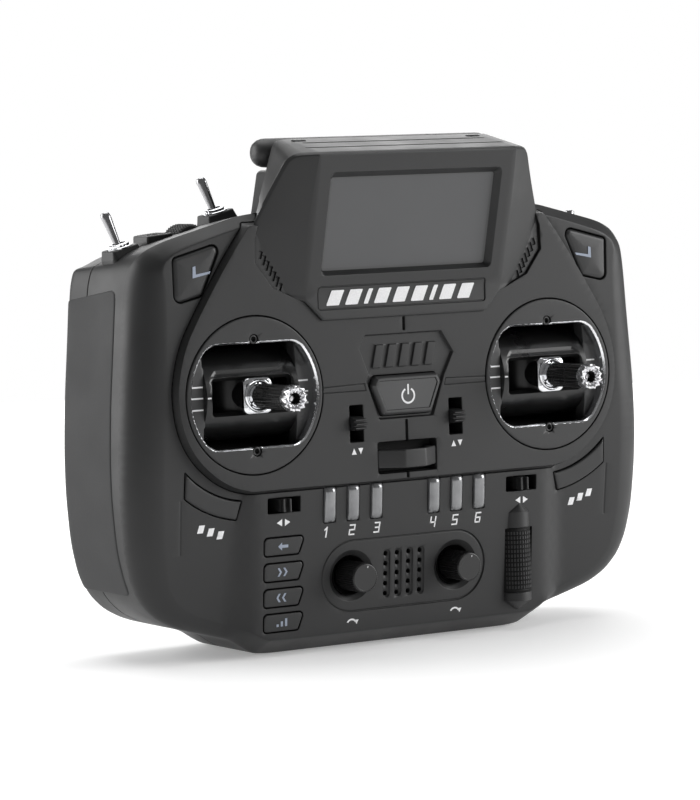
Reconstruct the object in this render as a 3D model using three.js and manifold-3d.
// Hand-held radio control transmitter: two gimbals, tilted display housing, keys, knobs and toggles.
// Units are millimetres. +Z is up, the front (the side the operator sees) faces -Y and +X is to the operator's right.
// The parts are laid out round a design datum on the front plate, midway between the gimbals,
// and the outer group moves that datum so that the origin lies on the flat base.
import * as THREE from 'three';
import { mergeVertices } from 'three/addons/utils/BufferGeometryUtils.js';
import { ConvexGeometry } from 'three/addons/geometries/ConvexGeometry.js';
import Module from 'manifold-3d';

const wasm = await Module();
wasm.setup();

// ---------------------------------------------------------------- driving dimensions (mm)
const BASE_Z = -77.8;          // flat base, below the datum
const BASE_Y = 30;             // middle of the flat base, behind the front plate
const CASE_BACK = 51.5;        // back face of the case
const SEAM = 35;               // parting plane of the two case halves
const WALL = 2.4;
const GAP = 0.3;               // clearance between neighbouring solids
const GX = 54.08, GZ = 2.82;   // gimbal centres
const RING_R = 24;             // gimbal bezel
const PIVOT_Y = 15;            // gimbal pivot behind the front plate
const DRUM_R = 14, DRUM_HALF = 16.5;
const STICK_R = 3.7, STICK_TIP_Y = -24;
const KNOB_X = 19.3, KNOB_Z = -55.2, KNOB_R = 4.65, KNOB_HOLE_R = 6.2;
const ROLL_X = 43.3, ROLL_Z = -55.6, ROLL_R = 5.3, ROLL_LEN = 19.8, ROLL_Y = 6.2;
const FKEY_X = [10.63, 19.15, 27.68], FKEY_W = 4.3, FKEY_TOP = -27.0, FKEY_H = 11;
const NAV_TOP = [-41.0, -48.9, -56.8, -64.5], NAV_H = 5.7;
const CHIN_Y0 = 1.66, CHIN_Z0 = -26.1, CHIN_Y1 = 5.4, CHIN_Z1 = -72.4;
const FACE_Y0 = -11.8, FACE_Z0 = 74.7, FACE_SLOPE = 0.2565;  // display face leans forward at the top
const TOGGLE_Y = 27, TOGGLE_LEAN = 17 * Math.PI / 180;
const SHOULDER_SLOPE = 0.257, TOP_FALL = 0.125;
const BASE_FRONT = 14.6, CHAMFER = 0.587;

const chinY = z => CHIN_Y0 + (CHIN_Z0 - z) * (CHIN_Y1 - CHIN_Y0) / (CHIN_Z0 - CHIN_Z1);
const faceY = z => FACE_Y0 + (FACE_Z0 - z) * FACE_SLOPE;
const wingY = z => 3.2 + (z < 0 ? 6.6 * (-z / 66) ** 1.7 : 0);   // the wings fall back below the gimbals
const topZ = (x, y) => 57.5 - SHOULDER_SLOPE * (Math.abs(x) - 52) - TOP_FALL * (y - 6);

// ---------------------------------------------------------------- geometry helpers
function solid(geometry) {
  const g = geometry.index ? geometry.toNonIndexed() : geometry.clone();
  g.deleteAttribute('normal');
  if (g.attributes.uv) g.deleteAttribute('uv');
  const m = mergeVertices(g, 1e-4);
  return new wasm.Manifold(new wasm.Mesh({
    numProp: 3,
    vertProperties: new Float32Array(m.attributes.position.array),
    triVerts: new Uint32Array(m.index.array),
  }));
}
const join = (...list) => list.reduce((a, b) => a.add(b));
const cut = (a, ...list) => list.reduce((m, b) => m.subtract(b), a);

function box(x0, x1, y0, y1, z0, z1) {
  return solid(new THREE.BoxGeometry(x1 - x0, y1 - y0, z1 - z0)
    .translate((x0 + x1) / 2, (y0 + y1) / 2, (z0 + z1) / 2));
}
// cylinder or cone along 'x', 'y' or 'z' from a0 (radius r0) to a1 (radius r1)
function rod(axis, r0, r1, a0, a1, c = [0, 0, 0], seg = 24) {
  const g = new THREE.CylinderGeometry(r1, r0, a1 - a0, seg);   // r1 at +Y end
  g.rotateY(Math.PI / seg);
  g.translate(0, (a0 + a1) / 2, 0);
  if (axis === 'x') g.rotateZ(-Math.PI / 2);
  if (axis === 'z') g.rotateX(Math.PI / 2);
  return solid(g.translate(...c));
}
// outline in (x, z) extruded along Y from y0 to y1
function prism(points, y0, y1) {
  const shape = new THREE.Shape(points.map(p => new THREE.Vector2(p[0], p[1])));
  const g = new THREE.ExtrudeGeometry(shape, { depth: y1 - y0, bevelEnabled: false, steps: 1 });
  g.rotateX(Math.PI / 2);             // (x, z, depth) -> (x, -depth, z)
  return solid(g.translate(0, y1, 0));
}
// outline in (y, z) extruded along X from x0 to x1
const slab = (points, x0, x1) => prism(points, -x1, -x0).rotate([0, 0, 90]);
const hull = points => solid(new ConvexGeometry(points.map(p => new THREE.Vector3(...p))));
const mirrorPoints = pts => pts.flatMap(([x, y, z]) => [[x, y, z], [-x, y, z]]);

// closed skin through sections of equal length, each a list of [x, y, z], ordered front to back
function loft(sections) {
  const n = sections[0].length;
  const pos = [];
  const tri = (a, b, c) => pos.push(...a, ...b, ...c);
  for (let s = 0; s + 1 < sections.length; s++) {
    const A = sections[s], B = sections[s + 1];
    for (let i = 0; i < n; i++) {
      const j = (i + 1) % n;
      tri(A[i], B[i], B[j]);
      tri(A[i], B[j], A[j]);
    }
  }
  const flat = A => A.map(p => new THREE.Vector2(p[0], p[2]));
  for (const [A, front] of [[sections[0], true], [sections.at(-1), false]]) {
    for (const [a, b, c] of THREE.ShapeUtils.triangulateShape(flat(A), [])) {
      if (front) tri(A[a], A[b], A[c]); else tri(A[a], A[c], A[b]);
    }
  }
  const g = new THREE.BufferGeometry();
  g.setAttribute('position', new THREE.Float32BufferAttribute(pos, 3));
  return solid(g);
}
const arc = (cx, cz, r, a0, a1, n) => Array.from({ length: n + 1 }, (_, i) => {
  const t = (a0 + (a1 - a0) * i / n) * Math.PI / 180;
  return [cx + r * Math.cos(t), cz + r * Math.sin(t)];
});

const root = new THREE.Group();
root.position.set(0, -BASE_Y, -BASE_Z);
function node(name, manifold, color, roughness, metalness = 0, parent = root) {
  const m = manifold.getMesh();
  const g = new THREE.BufferGeometry();
  const v = new Float32Array(m.vertProperties.length);
  for (let i = 0; i < v.length; i++) v[i] = m.vertProperties[i];
  g.setAttribute('position', new THREE.BufferAttribute(v, 3));
  g.setIndex(new THREE.BufferAttribute(new Uint32Array(m.triVerts), 1));
  g.computeVertexNormals();
  const mesh = new THREE.Mesh(g, new THREE.MeshStandardMaterial({ color, roughness, metalness }));
  mesh.name = name;
  parent.add(mesh);
  return mesh;
}
const SHELL = 0x3a3a3c, DARK = 0x242426, KEY = 0x2e2e30, METAL = 0xc8c8cc;

// ---------------------------------------------------------------- case outline
// right half, from the top of the shoulder down to the base: [x, z, inset of the front edge, top flag]
const HALF = [
  [0, 57.5, 3.4, 1], [52, 57.5, 3.4, 1], [66, 53.9, 3.4, 1], [80, 50.3, 4.0, 1], [86, 47.6, 5.5, 1],
  [89.6, 43.2, 7, 0], [91.3, 36, 8.5, 0], [92.6, 20, 9, 0], [94.2, 2, 9, 0], [95, -14, 9, 0],
  [95, -27, 9, 0], [93.9, -42, 9, 0], [91.7, -52, 8.5, 0], [88.6, -58.4, 7.5, 0], [83.6, -63.4, 6, 0],
  [77, -66.9, 4.5, 0], [66, -70, 3.6, 0], [57.5, -72.3, 3, 0], [52.6, -75.6, 4, 0], [48.5, -77.8, 5, 0],
  [0, -77.8, 5, 0],
];
const normals = HALF.map((p, i) => {
  const a = HALF[Math.max(0, i - 1)], b = HALF[Math.min(HALF.length - 1, i + 1)];
  const dx = b[0] - a[0], dz = b[1] - a[1], l = Math.hypot(dx, dz);
  return (i === 0 || i === HALF.length - 1) ? [0, dz || i === 0 ? 1 : -1] : [-dz / l, dx / l];
});
normals[0] = [0, 1]; normals[normals.length - 1] = [0, -1];
// section at depth y, pulled in by share k of each point's own edge inset plus an even inset
function section(y, k, even = 0) {
  const half = HALF.map(([x, z, ins, top], i) => {
    const d = k * ins + even;
    // the shoulder falls towards the back, and the base rises in a chamfer under the chin
    const rise = z < -75 ? CHAMFER * Math.max(0, BASE_FRONT - y) * (z < -77 ? 1 : 0.6) : 0;
    const zz = (top ? z - TOP_FALL * Math.max(0, y - 6) : z) + rise;
    return [Math.max(0, x - normals[i][0] * (rise ? even : d)), y, zz - normals[i][1] * (rise ? even : d)];
  });
  const left = half.slice(1, -1).reverse().map(([x, yy, z]) => [-x, yy, z]);
  return [...left, half[0], ...half.slice(1), ].reverse();
}
const WING_Z = [0, -10, -20, -30, -40, -50, -60, -70, -82];
// space in front of the wing surface, set d further back
const wingSpace = (d, x0, x1) => slab([[-6, 0], ...WING_Z.map(z => [wingY(z) + d, z]), [-6, -82]], x0, x1);
const caseBlock = loft([
  section(3.2, 1), section(4.4, 0.62), section(7.2, 0.22), section(12.5, 0), section(BASE_FRONT, 0),
  section(44.5, 0), section(48.8, 0.16), section(CASE_BACK, 0.6),
]);
const caseSolid = caseBlock.subtract(wingSpace(0, -110, 110));
const caseInner = loft([section(8.6, 0.35, WALL), section(12.5, 0, WALL), section(BASE_FRONT, 0, WALL), section(44.5, 0, WALL), section(CASE_BACK - WALL, 0.25, WALL)])
  .subtract(wingSpace(WALL, 54, 110)).subtract(wingSpace(WALL, -110, -54));

// front plate: raised field round both gimbals
const PLATE_HALF = [[54.2, 53.7], [61.2, 44.4], [67.8, 34.6], [73.3, 25.9], [77.2, 19.0], [79.8, 10.5],
  [80.6, 3.1], [79.4, -6], [75.4, -14.4], [68.6, -21.0], [62.2, -24.6], [56.2, -26.0]];
const plateOutline = [...PLATE_HALF, ...PLATE_HALF.map(([x, z]) => [-x, z]).reverse()];
const plate = prism(plateOutline, 0, 8.4);
// chin: sloping lower panel with slanted flanks
const chin = hull(mirrorPoints([
  [54.2, chinY(-26.1), -26.1], [54.2, CHIN_Y1, CHIN_Z1], [60.5, 8.2, -26.1], [60.5, 9.5, -71.6],
  [50.3, 14.6, BASE_Z + 0.05], [52, 20, BASE_Z + 0.3], [54.2, 12, -26.1], [52, 20, -40],
]));

// ---------------------------------------------------------------- display housing
const headPoints = mirrorPoints([
  [35.9, faceY(74.2), 74.2], [35.9, faceY(30.5) + 0.2, 30.5], [29.7, 1.1, 24.4],
  [44.3, -6.5, 74.0], [51.9, 0.1, 54.8], [46.8, 1.0, 34.9], [35.7, 0.6, 30.5],
  [38.6, 9, 78.8], [34.9, -9.6, 75.6], [42, 8, 62], [48.6, 8.2, 55], [44, 8.2, 35.5], [29, 8.2, 25.4],
]);
const headFront = hull(headPoints);
const tower = hull(mirrorPoints([
  [37.2, 7, 70.2], [35.1, 27, 70.2], [45, 7, 52.5], [38.6, 27, 52.5],
]));
const headOuter = headFront.add(tower);
const centroid = [0, 6, 54];
const grow = (pts, d) => pts.map(p => {
  const v = [p[0] - centroid[0], p[1] - centroid[1], p[2] - centroid[2]];
  const l = Math.hypot(...v);
  return [p[0] + v[0] / l * d, p[1] + v[1] / l * d, p[2] + v[2] / l * d];
});
const headClear = hull(grow(headPoints, 0.55)).add(hull(grow(mirrorPoints([
  [37.2, 7, 70.2], [35.1, 27, 70.2], [45, 7, 52.5], [38.6, 27, 52.5],
]), 0.6)));

// display stack, tilted with the face
const tilt = Math.atan(FACE_SLOPE);
const displayGroup = new THREE.Group();
displayGroup.position.set(0, faceY(53.25), 53.25);
displayGroup.rotation.x = tilt;      // local Y is the depth behind the face, local Z runs up the face
root.add(displayGroup);
const toFace = m => m.rotate([tilt * 180 / Math.PI, 0, 0]).translate([0, faceY(53.25), 53.25]);
const WIN_X = 30.7, WIN_H = 15.75;
const windowCut = toFace(join(
  box(-WIN_X, WIN_X, -4, 2.2, -WIN_H, WIN_H),
  box(-WIN_X + 1.2, WIN_X - 1.2, 2.0, 5.0, -WIN_H + 1.2, WIN_H - 1.2),
  box(-32.5, 32.5, 4.8, 9.6, -18.5, 17.5)));
node('display_lens', box(-WIN_X + GAP, WIN_X - GAP, 0.9, 1.9, -WIN_H + GAP, WIN_H - GAP), 0x55565a, 0.25, 0, displayGroup);
node('lcd_module', box(-32.1, 32.1, 5.2, 8.8, -18.1, 17.1), 0x6a6c70, 0.5, 0, displayGroup);
// bay behind the display, open towards the inside of the case
const headHollow = join(
  hull(mirrorPoints([[33, 4.6, 58], [33, 24.4, 67], [33, 2, 67], [34, 24.4, 51], [34, 9.5, 51]])),
  box(-27, 27, 5.6, 9.5, 33, 56));
// two ears at the back of the housing carry the aerial's hinge
const AER_Z = 75.4, AER_Y = 15.2, HINGE_Y = 29.5, HINGE_Z = 65.5;
const ear = s => hull([...arc(HINGE_Y, HINGE_Z, 3.6, -90, 90, 6).map(([y, z]) => [s * 6.5, y, z]), ...arc(HINGE_Y, HINGE_Z, 3.6, -90, 90, 6).map(([y, z]) => [s * 9.5, y, z]),
  [s * 6.5, 25, 69.8], [s * 9.5, 25, 69.8], [s * 6.5, 25, 58], [s * 9.5, 25, 58]]);
node('display_housing', cut(join(headOuter, ear(1), ear(-1)), windowCut, headHollow,
  box(-6.5, 6.5, 19, 36, 60.4, 72.5), rod('x', 1.9, 1.9, -12, 12, [0, HINGE_Y, HINGE_Z], 16)), 0x4a4a4c, 0.55);

// ---------------------------------------------------------------- key outlines
const sideKey = [[62.6, 49.4], [79.6, 44.9], [79.4, 31.4], [70.0, 33.6]];
const wingKey = [...arc(GX, GZ, 32.1, -42.5, -83.6, 5), ...arc(GX, GZ, 38.0, -82.4, -51.4, 5)];
const powerKey = [[-11.0, 5.2], [11.0, 5.2], [12.2, 3.0], [8.5, -5.6], [-8.5, -5.6], [-12.2, 3.0]];
const navKey = z => [[-50.9, z], [-36.6, z], [-38.7, z - NAV_H], [-50.9, z - NAV_H]];
const flip = pts => pts.map(([x, z]) => [-x, z]).reverse();
// the same outline pushed out by d about its middle
function swell(pts, d) {
  const n = pts.length;
  const area = pts.reduce((s, p, i) => s + p[0] * pts[(i + 1) % n][1] - pts[(i + 1) % n][0] * p[1], 0);
  const sgn = area > 0 ? 1 : -1;
  return pts.map((p, i) => {
    const a = pts[(i + n - 1) % n], b = pts[(i + 1) % n];
    const e1 = [p[0] - a[0], p[1] - a[1]], e2 = [b[0] - p[0], b[1] - p[1]];
    const l1 = Math.hypot(...e1), l2 = Math.hypot(...e2);
    const n1 = [e1[1] / l1 * sgn, -e1[0] / l1 * sgn], n2 = [e2[1] / l2 * sgn, -e2[0] / l2 * sgn];
    const k = 1 + n1[0] * n2[0] + n1[1] * n2[1];
    return [p[0] + d * (n1[0] + n2[0]) / k, p[1] + d * (n1[1] + n2[1]) / k];
  });
}
// a key: cap standing in its window, with a wider flange behind the front wall that stops it falling out
function key(points, yFront, yWall) {
  return prism(points, yFront, yWall + 0.5).add(prism(swell(points, 0.9), yWall + 0.5, yWall + 1.6));
}
const keyHole = (points) => prism(swell(points, GAP), -6, 12);

// ---------------------------------------------------------------- case front
const trimV = (x) => box(x - 2.47, x + 2.47, -2, 12, -13.83, -2.43);
const trimH = (x) => box(x - 5.8, x + 5.8, -2, 12, -33.61, -28.89);
const fkeyHole = (x) => box(x - FKEY_W / 2 - GAP, x + FKEY_W / 2 + GAP, -2, 12, FKEY_TOP - FKEY_H - GAP, FKEY_TOP + GAP);
const rollHole = join(
  rod('z', ROLL_R + 0.4, ROLL_R + 0.4, ROLL_Z - ROLL_LEN / 2 - 0.4, ROLL_Z + ROLL_LEN / 2 + 0.4, [ROLL_X, ROLL_Y, 0], 24),
  rod('z', 1.4, 1.4, ROLL_Z - ROLL_LEN / 2 - 2.2, ROLL_Z + ROLL_LEN / 2 + 2.2, [ROLL_X, ROLL_Y, 0], 12),
  box(ROLL_X - ROLL_R - 0.4, ROLL_X + ROLL_R + 0.4, 6, 9.4, ROLL_Z - ROLL_LEN / 2 - 0.4, ROLL_Z + ROLL_LEN / 2 + 0.4));
// half-round housing with pointed ends, standing out of the chin round the roller
const rollHousing = hull([
  ...[-40.3, -68.6].flatMap(z => arc(ROLL_X, ROLL_Y, 5.0, 180, 360, 14).map(([x, y]) => [x, y, z])),
  [ROLL_X, chinY(-37.9) + 0.2, -37.9], [ROLL_X, chinY(-71.7) + 0.2, -71.7],
  [ROLL_X - 2, 8.4, -39], [ROLL_X + 2, 8.4, -39], [ROLL_X - 2, 8.4, -70], [ROLL_X + 2, 8.4, -70],
]);
const strapPocket = box(-10.5, 10.5, -1, 3.6, -24.4, -14.4);
const boss = (x, z) => rod('y', 2.6, 2.6, 6, 27.6, [x, 0, z], 12);
const TOP_X = 61.3, TOP_Z = 48.7, TOP_R = 5.9;      // thumb roller in the shoulder
const TKEY = [67.9, 76.9];
const slope = Math.atan(SHOULDER_SLOPE);
const TOGGLES = [[83.3, 'outer', -1.08], [49.6, 'inner', -0.28]];
const toggleAt = (s, x, dz) => [s * x, TOGGLE_Y, topZ(x, TOGGLE_Y) + dz];
const togglePocket = (s, x, dz) => box(-5.8, 5.8, -5.0, 5.0, -4, 7).rotate([0, s * slope * 180 / Math.PI, 0]).translate(toggleAt(s, x, dz));
const span = (s, a, b, ...rest) => box(Math.min(s * a, s * b), Math.max(s * a, s * b), ...rest);
const topCuts = s => join(
  rod('y', TOP_R + 0.5, TOP_R + 0.5, TOGGLE_Y - 5, TOGGLE_Y + 5, [s * TOP_X, 0, TOP_Z], 20),
  span(s, TKEY[0] - 0.35, TKEY[1] + 0.35, TOGGLE_Y - 5.3, TOGGLE_Y + 5.3, 40, 56),
  ...TOGGLES.map(([x, , dz]) => togglePocket(s, x, dz)));
const rollerBracket = s => join(
  span(s, TOP_X - 3, TOP_X + 3, 19.6, 21.4, 45.4, 53.4), span(s, TOP_X - 3, TOP_X + 3, 32.6, 34.4, 45.4, 52)
).subtract(rod('y', 1.9, 1.9, 15, 40, [s * TOP_X, 0, TOP_Z], 12));

let front = join(caseSolid, plate, chin, rollHousing);
front = cut(front, box(-120, 120, SEAM, 80, -120, 120), caseInner, headClear);
front = front.add(boss(25, 17)).add(boss(-25, 17)).add(boss(25, -70.2)).add(boss(-25, -70.2));
for (const s of [1, -1]) {
  front = front.add(rollerBracket(s));
  front = cut(front,
    rod('y', RING_R + GAP, RING_R + GAP, -4, 12, [s * GX, 0, GZ], 40),
    keyHole(s > 0 ? sideKey : flip(sideKey)),
    keyHole(s > 0 ? wingKey : flip(wingKey)),
    trimV(s * 18.31), trimH(s * 43.97),
    rod('y', 1.9, 1.9, 18, SEAM + 2, [s * TOP_X, 0, TOP_Z], 12),
    rod('y', KNOB_HOLE_R, KNOB_HOLE_R, -2, 6.6, [s * KNOB_X, 0, KNOB_Z], 24), rod('y', 3.3, 3.3, 6, 12, [s * KNOB_X, 0, KNOB_Z], 16),
    topCuts(s));
  for (const x of FKEY_X) front = front.subtract(fkeyHole(s * x));
}
for (const z of NAV_TOP) front = front.subtract(keyHole(navKey(z)));
front = cut(front, keyHole(powerKey), rollHole, strapPocket);

// side grips lie in shallow recesses that run round the rear corners
const gripZone = s => {
  return hull([
    [s * 86, 16.6, 36.4], [s * 100, 16.6, 36.4], [s * 86, CASE_BACK + 3, 31.5], [s * 100, CASE_BACK + 3, 31.5],
    [s * 86, 16.6, -56.6], [s * 100, 16.6, -56.6], [s * 86, CASE_BACK + 3, -56.0], [s * 100, CASE_BACK + 3, -56.0],
  ]);
};
const gripZoneSmall = s => hull([
  [s * 86.3, 16.9, 36.1], [s * 100, 16.9, 36.1], [s * 86.3, CASE_BACK + 3, 31.2], [s * 100, CASE_BACK + 3, 31.2],
  [s * 86.3, 16.9, -56.3], [s * 100, 16.9, -56.3], [s * 86.3, CASE_BACK + 3, -55.7], [s * 100, CASE_BACK + 3, -55.7],
]);
const caseUnder = loft([
  section(3.2, 1, 1.6), section(7.2, 0.22, 1.6), section(12.5, 0, 1.6), section(BASE_FRONT, 0, 1.6), section(44.2, 0, 1.6),
  section(47.6, 0.16, 1.6), section(CASE_BACK - 1.6, 0.6, 1.2)]);
const caseUnderGap = loft([
  section(3.2, 1, 1.3), section(7.2, 0.22, 1.3), section(12.5, 0, 1.3), section(BASE_FRONT, 0, 1.3), section(44.3, 0, 1.3),
  section(47.9, 0.16, 1.3), section(CASE_BACK - 1.3, 0.6, 0.9)]);
for (const s of [1, -1]) front = front.subtract(cut(gripZone(s), caseUnder));
node('front_shell', front, SHELL, 0.55);
for (const [s, n] of [[-1, 'left_side_grip'], [1, 'right_side_grip']]) {
  node(n, cut(gripZoneSmall(s).intersect(caseSolid), caseUnderGap), 0x4a4a4c, 0.8);
}

// ---------------------------------------------------------------- case back
const HUMP_Y = 58.2;
const hump = hull(mirrorPoints([
  [41, CASE_BACK - 1, 30.5], [41, CASE_BACK - 1, -68], [37.5, HUMP_Y, 26.5], [37.5, HUMP_Y, -64.5],
]));
let rear = cut(caseSolid, box(-120, 120, -20, SEAM + GAP, -120, 120), caseInner);
// compartments: walls of the battery bay and of the module bay, standing forward into the case
const BAT = { x: 35.4, z0: -62.6, z1: -22.4, y0: 36.4 };
const MOD = { x: 16.2, z0: -17.0, z1: 22.4, y0: 45.2 };
rear = join(rear, hump,
  box(-BAT.x - 1.6, BAT.x + 1.6, 35.3, CASE_BACK, BAT.z0 - 1.6, BAT.z1 + 1.6),
  box(-MOD.x - 1.6, MOD.x + 1.6, MOD.y0 - 1.6, CASE_BACK, MOD.z0 - 1.6, MOD.z1 + 1.6));
rear = cut(rear,
  box(-BAT.x, BAT.x, BAT.y0 + 0.6, 70, BAT.z0, BAT.z1),
  box(-BAT.x - 1.1, BAT.x + 1.1, HUMP_Y - 2.4, 70, -80, BAT.z1 + 1.2),
  box(-MOD.x, MOD.x, MOD.y0, 70, MOD.z0, MOD.z1),
  box(-MOD.x - 2, MOD.x + 2, HUMP_Y - 1.6, 70, MOD.z0 - 2, MOD.z1 + 2));
for (const s of [1, -1]) rear = rear.subtract(cut(gripZone(s), caseUnder));
node('rear_shell', rear, SHELL, 0.6);
node('battery_door', join(
  box(-BAT.x - 0.8, BAT.x + 0.8, HUMP_Y - 2.1, HUMP_Y, -64.2, BAT.z1 + 0.9),
  box(-9, 9, HUMP_Y - 0.1, HUMP_Y + 0.7, -59, -57.8), box(-9, 9, HUMP_Y - 0.1, HUMP_Y + 0.7, -56, -54.8),
  box(-9, 9, HUMP_Y - 0.1, HUMP_Y + 0.7, -53, -51.8)), SHELL, 0.6);
node('module_bay_cover', join(
  box(-MOD.x - 1.7, MOD.x + 1.7, HUMP_Y - 1.3, HUMP_Y, MOD.z0 - 1.7, MOD.z1 + 1.7),
  box(-MOD.x + GAP, -MOD.x + 1.6, HUMP_Y - 4.3, HUMP_Y - 1.2, -6, 9),
  box(MOD.x - 1.6, MOD.x - GAP, HUMP_Y - 4.3, HUMP_Y - 1.2, -6, 9)), SHELL, 0.6);
for (const [i, z] of [[0, -32.8], [1, -52.2]]) {
  node('battery_cell_' + 'ab'[i], join(
    rod('x', 9.1, 9.1, -32.6, 31.4, [0, 46.4, z], 24),
    rod('x', 2.8, 2.8, 31.2, 32.8, [0, 46.4, z], 12)), 0x2f6f9f, 0.4);
}

// ---------------------------------------------------------------- inside
node('main_circuit_board', cut(box(-28.5, 28.5, 28, 29.6, -73.4, 21), box(-6, 6, 27, 31, 14, 22)), 0x1f5a34, 0.6);
node('speaker', join(rod('y', 12.4, 12.4, 9.0, 11.5, [0, 0, KNOB_Z], 28), rod('y', 6.5, 6.5, 11.4, 15.5, [0, 0, KNOB_Z], 20)), DARK, 0.6);

// ---------------------------------------------------------------- gimbals
for (const [s, side] of [[-1, 'left'], [1, 'right']]) {
  const g = new THREE.Group();
  g.position.set(s * GX, 0, GZ);
  root.add(g);
  // square carrier behind the front wall, with ears that take the drum's axle
  const frame = cut(
    join(prism([[23, 16], [16, 23], [-16, 23], [-23, 16], [-23, -16], [-16, -23], [16, -23], [23, -16]], 9.0, 26),
      box(17.0, 20.9, 5.6, 9.2, -11.2, 11.2), box(-20.9, -17.0, 5.6, 9.2, -11.2, 11.2), box(20.7, 22, 5.6, 9.2, -4, 4), box(-22, -20.7, 5.6, 9.2, -4, 4)),
    box(-16.8, 16.8, 8, 24.5, -18, 18), box(-20.9, 20.9, 12, 24.5, -18, 18), box(-15, 15, 20, 30, -15, 15),
    rod('x', 2.3, 2.3, -24, 24, [0, PIVOT_Y, 0], 16));
  node(`${side}_gimbal_frame`, frame, DARK, 0.6, 0, g);
  // bezel: round plate with a flat-topped opening and a stepped skirt
  const opening = [...arc(0, 0, 21.4, -44, 44, 10), ...arc(0, 0, 21.4, 136, 224, 10)];
  const bezel = cut(
    join(rod('y', RING_R, RING_R - 0.6, -0.6, 0.2, [0, 0, 0], 40), rod('y', RING_R, RING_R, 0.1, 5.2, [0, 0, 0], 40)),
    prism(opening, -2, 3.4), rod('y', 22.4, 22.4, 2.2, 8, [0, 0, 0], 32));
  node(`${side}_gimbal_bezel`, bezel, DARK, 0.5, 0, g);
  // drum: hollow half-round that rolls about X, slotted for the stick
  const drum = cut(
    join(rod('x', DRUM_R, DRUM_R, -DRUM_HALF, DRUM_HALF, [0, PIVOT_Y, 0], 36), rod('x', 2.0, 2.0, -22.6, 22.6, [0, PIVOT_Y, 0], 16)),
    box(-30, 30, 19, 40, -20, 20),
    rod('x', 11.4, 11.4, -14.2, 14.2, [0, PIVOT_Y, 0], 28),
    box(-13.6, 13.6, -4, 12, -5.75, 5.75),
    rod('z', 1.65, 1.65, -20, 20, [0, PIVOT_Y, 0], 12));
  node(`${side}_gimbal_drum`, drum, 0x1c1c1e, 0.5, 0, g);
  // stick: cross-pin, hub, neck, square collar and shaft with a stud for its end
  const stick = join(
    rod('z', 1.35, 1.35, -13, 13, [0, PIVOT_Y, 0], 12),
    rod('z', 9, 9, -6, 6, [0, PIVOT_Y, 0], 24),
    rod('y', 3.4, 3.4, -1, 8, [0, 0, 0], 16),
    prism([[-5, -4.4], [-4, -5.4], [4, -5.4], [5, -4.4], [5, 4.4], [4, 5.4], [-4, 5.4], [-5, 4.4]], -3.0, -0.2),
    rod('y', STICK_R, STICK_R, -20, -2.9, [0, 0, 0], 20),
    rod('y', 1.3, 1.3, -22.4, -19.9, [0, 0, 0], 12));
  node(`${side}_stick`, stick, 0x1a1a1c, 0.4, 0.3, g);
  const crown = join(rod('y', 4.0, 4.0, -23.5, -20.1, [0, 0, 0], 24), rod('y', 3.6, 4.0, STICK_TIP_Y, -23.4, [0, 0, 0], 24));
  node(`${side}_stick_end`, cut(crown, rod('y', 1.45, 1.45, -22.6, -19, [0, 0, 0], 12)), METAL, 0.25, 1, g);
}

// ---------------------------------------------------------------- keys, trims, knobs
for (const [s, side] of [[-1, 'left'], [1, 'right']]) {
  const of = pts => s > 0 ? pts : flip(pts);
  node(`${side}_shoulder_key`, key(of(sideKey), 2.5, 8.6), KEY, 0.45);
  node(`${side}_wing_key`, cut(key(of(wingKey), 2.2, 8.6), slab([[-6, -12], [wingY(-12) - 0.6, -12], [wingY(-24) - 0.6, -24], [wingY(-38) - 0.6, -38], [-6, -38]], -110, 110)), KEY, 0.5);
  node(`${side}_inner_trim`, join(box(s * 18.31 - 2.1, s * 18.31 + 2.1, -2.6, 8.2, -9.7, -6.5),
    box(s * 18.31 - 3.6, s * 18.31 + 3.6, 9.3, 10.6, -13, -3.2), box(s * 18.31 - 2.1, s * 18.31 + 2.1, 8.1, 9.4, -9.7, -6.5)), KEY, 0.45);
  node(`${side}_outer_trim`, join(box(s * 43.97 - 1.6, s * 43.97 + 1.6, -0.3, 9.4, -33.2, -29.3),
    box(s * 43.97 - 5.2, s * 43.97 + 5.2, 9.3, 10.6, -34.8, -27.7)), KEY, 0.45);
  FKEY_X.forEach((x, i) => {
    const n = s < 0 ? 3 - i : 4 + i;
    const cx = s * x, w = FKEY_W / 2;
    const cap = hull([
      [cx - w, 2.2, FKEY_TOP], [cx + w, 2.2, FKEY_TOP], [cx - w, 3.1, FKEY_TOP - FKEY_H], [cx + w, 3.1, FKEY_TOP - FKEY_H],
      [cx - w + 1, 1.0, FKEY_TOP - 0.8], [cx + w - 1, 1.0, FKEY_TOP - 0.8], [cx - w + 1, 1.9, FKEY_TOP - FKEY_H + 0.8], [cx + w - 1, 1.9, FKEY_TOP - FKEY_H + 0.8],
      [cx - w, 9.2, FKEY_TOP], [cx + w, 9.2, FKEY_TOP], [cx - w, 9.2, FKEY_TOP - FKEY_H], [cx + w, 9.2, FKEY_TOP - FKEY_H],
    ]);
    node(`function_key_${n}`, join(cap, box(cx - w - 0.7, cx + w + 0.7, 9.1, 10.2, FKEY_TOP - FKEY_H - 0.7, FKEY_TOP + 0.7)), 0x6a6a6e, 0.15);
  });
  // rotary knobs on their shafts
  node(`${side}_knob`, join(rod('y', KNOB_R, KNOB_R, -3.4, 3.2, [s * KNOB_X, 0, KNOB_Z], 28), rod('y', KNOB_R - 0.5, KNOB_R, -3.9, -3.3, [s * KNOB_X, 0, KNOB_Z], 28),
    rod('y', 3.0, 3.0, 3.1, 10.4, [s * KNOB_X, 0, KNOB_Z], 16)), KEY, 0.5);
}
NAV_TOP.forEach((z, i) => node(`nav_key_${i + 1}`, join(prism(navKey(z), chinY(z) - 0.5, 9.2), prism(swell(navKey(z), 0.8), 9.1, 10.2)), KEY, 0.5));
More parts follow.
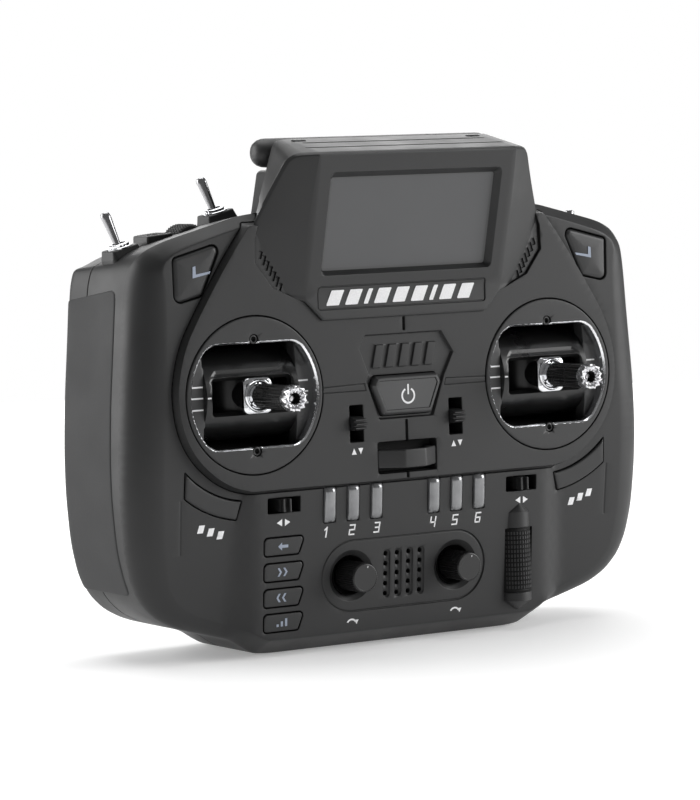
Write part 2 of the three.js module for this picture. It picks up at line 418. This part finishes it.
node('power_key', join(prism(powerKey, -0.6, 9.1), prism(swell(powerKey, 0.9), 9.0, 10.1)), 0x4a4a4c, 0.4);
// knurled roller on its vertical axle
node('scroll_roller', join(rod('z', ROLL_R, ROLL_R, ROLL_Z - ROLL_LEN / 2, ROLL_Z + ROLL_LEN / 2, [ROLL_X, ROLL_Y, 0], 28),
  rod('z', 1.1, 1.1, ROLL_Z - ROLL_LEN / 2 - 1.9, ROLL_Z + ROLL_LEN / 2 + 1.9, [ROLL_X, ROLL_Y, 0], 12)), KEY, 0.5);

// neck strap bar: arched bridge over the pocket, its feet let into the pocket's end walls
{
  const bar = hull([[-10.2, 0.4, -17.2], [10.2, 0.4, -17.2], [-10.2, 0.4, -22.6], [10.2, 0.4, -22.6],
    [-3.4, -4.8, -17.6], [3.4, -4.8, -17.6], [-3.4, -4.8, -22.2], [3.4, -4.8, -22.2], [-10.2, 3.3, -17.2], [10.2, 3.3, -17.2], [-10.2, 3.3, -22.6], [10.2, 3.3, -22.6]]);
  const hole = hull([[-6.4, 4, -26], [6.4, 4, -26], [-6.4, 4, -12], [6.4, 4, -12],
    [-6.4, 0.2, -26], [6.4, 0.2, -26], [-6.4, 0.2, -12], [6.4, 0.2, -12],
    [-4.2, -2.4, -26], [4.2, -2.4, -26], [-4.2, -2.4, -12], [4.2, -2.4, -12]]);
  node('neck_strap_bar', cut(bar, hole), KEY, 0.45);
}

// ---------------------------------------------------------------- top controls
for (const [s, side] of [[-1, 'left'], [1, 'right']]) {
  for (const [x, which, dz] of TOGGLES) {
    const g = new THREE.Group();
    g.position.set(...toggleAt(s, x, dz));
    g.rotation.y = s * slope;
    root.add(g);
    const base = cut(join(
      box(-5.4, 5.4, -4.6, 4.6, -2.6, 0),
      hull([[-5.4, -4.6, -0.1], [5.4, -4.6, -0.1], [-5.4, 4.6, -0.1], [5.4, 4.6, -0.1], [-4.6, -3.8, 2.6], [4.6, -3.8, 2.6], [-4.6, 3.8, 2.6], [4.6, 3.8, 2.6]]),
      rod('z', 3.0, 3.0, 2.5, 4.0, [0, 0, 0], 16)), rod('z', 2.45, 2.45, -4, 6, [0, 0, 0], 20));
    node(`${side}_${which}_toggle_base`, base, DARK, 0.5, 0, g);
    const lever = new THREE.Group();
    lever.position.set(0, 0, 0.6);
    lever.rotation.x = -TOGGLE_LEAN;
    g.add(lever);
    const tip = side === 'right' && which === 'outer' ? 7.6 : 13.6;   // the right outer switch has the short bat
    node(`${side}_${which}_toggle`, join(rod('z', 2.1, 2.1, -1.2, 1.2, [0, 0, 0], 16), rod('z', 1.15, 1.15, 1.0, 4.4, [0, 0, 0], 14),
      rod('z', 1.15, 1.65, 4.3, tip - 1.0, [0, 0, 0], 14), rod('z', 1.65, 0.9, tip - 1.1, tip, [0, 0, 0], 14)), METAL, 0.2, 1, lever);
  }
  node(`${side}_top_roller`, join(rod('y', TOP_R, TOP_R, TOGGLE_Y - 4.5, TOGGLE_Y + 4.5, [s * TOP_X, 0, TOP_Z], 24),
    rod('y', 1.6, 1.6, 20.2, 33.8, [s * TOP_X, 0, TOP_Z], 12)), KEY, 0.5);
  const a = s * TKEY[0], b = s * TKEY[1];
  node(`${side}_top_key`, hull([[a, TOGGLE_Y - 4.9, 52.2], [b, TOGGLE_Y - 4.9, 51.4], [a, TOGGLE_Y + 4.9, 52.2], [b, TOGGLE_Y + 4.9, 51.4],
    [a, TOGGLE_Y - 4.9, 43.6], [b, TOGGLE_Y - 4.9, 43.6], [a, TOGGLE_Y + 4.9, 43.6], [b, TOGGLE_Y + 4.9, 43.6]]), KEY, 0.5);
}

// ---------------------------------------------------------------- folding aerial behind the display housing
node('antenna_bar', join(rod('x', 4.4, 4.4, -39.8, 39.8, [0, AER_Y, AER_Z], 20),
  rod('x', 2.6, 4.4, -43.2, -39.7, [0, AER_Y, AER_Z], 20), rod('x', 4.4, 2.6, 39.7, 43.2, [0, AER_Y, AER_Z], 20)), DARK, 0.5);
const hub = (x0, x1) => arc(HINGE_Y, HINGE_Z, 3.5, -150, 60, 8).flatMap(([y, z]) => [[x0, y, z], [x1, y, z]]);
node('antenna_arm', join(hull([...hub(-6, 6), [-6, AER_Y + 4.8, 78.0], [6, AER_Y + 4.8, 78.0], [-6, AER_Y + 4.8, 72.6], [6, AER_Y + 4.8, 72.6]]),
  rod('x', 1.6, 1.6, -9.4, 9.4, [0, HINGE_Y, HINGE_Z], 16)), DARK, 0.5);

export default root;
